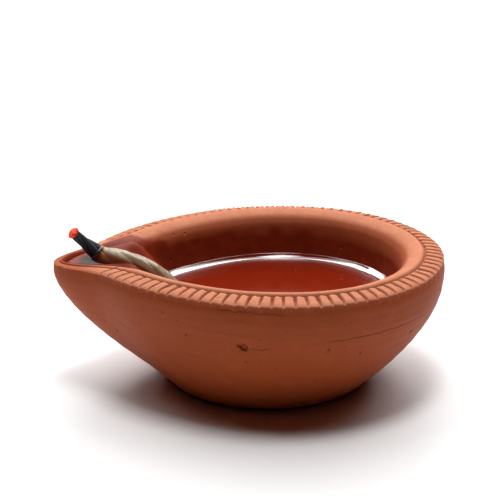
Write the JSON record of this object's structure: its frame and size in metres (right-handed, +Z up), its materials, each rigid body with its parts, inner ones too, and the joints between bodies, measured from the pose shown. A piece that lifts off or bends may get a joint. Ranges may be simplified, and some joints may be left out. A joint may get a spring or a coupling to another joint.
{
  "type": "diya oil lamp",
  "caption": "Clay diya oil lamp: a round bowl with a notched rim and a pinched spout, filled with oil, with a twisted cotton wick that burns at the spout and lifts out",
  "frame": {"origin": "centre of the flat base that the lamp stands on", "axes": "+Z up, +X along the lamp away from its spout, so that the spout points along -X, +Y to the side"},
  "size_m": [0.0736, 0.0608, 0.0298],
  "materials": {
    "terracotta": "fired clay, satin where it is oiled",
    "oil": "clear amber liquid",
    "cotton": "oil-soaked cotton",
    "char": "charred",
    "ember": "glowing"
  },
  "bodies": {
    "bowl": {"clay_bowl": "terracotta", "oil": "oil"},
    "wick": {"wick_strand_1": "cotton", "wick_strand_2": "cotton", "wick_strand_3": "cotton", "wick_strand_4": "cotton", "wick_charred_ends": "char", "wick_ember_ends": "ember"}
  },
  "joints": [
    {"name": "wick_draw", "type": "slide", "parent": "bowl", "child": "wick", "axis": [-0.6884, 0, 0.7254], "range_m": [0, 0.03]}
  ]
}
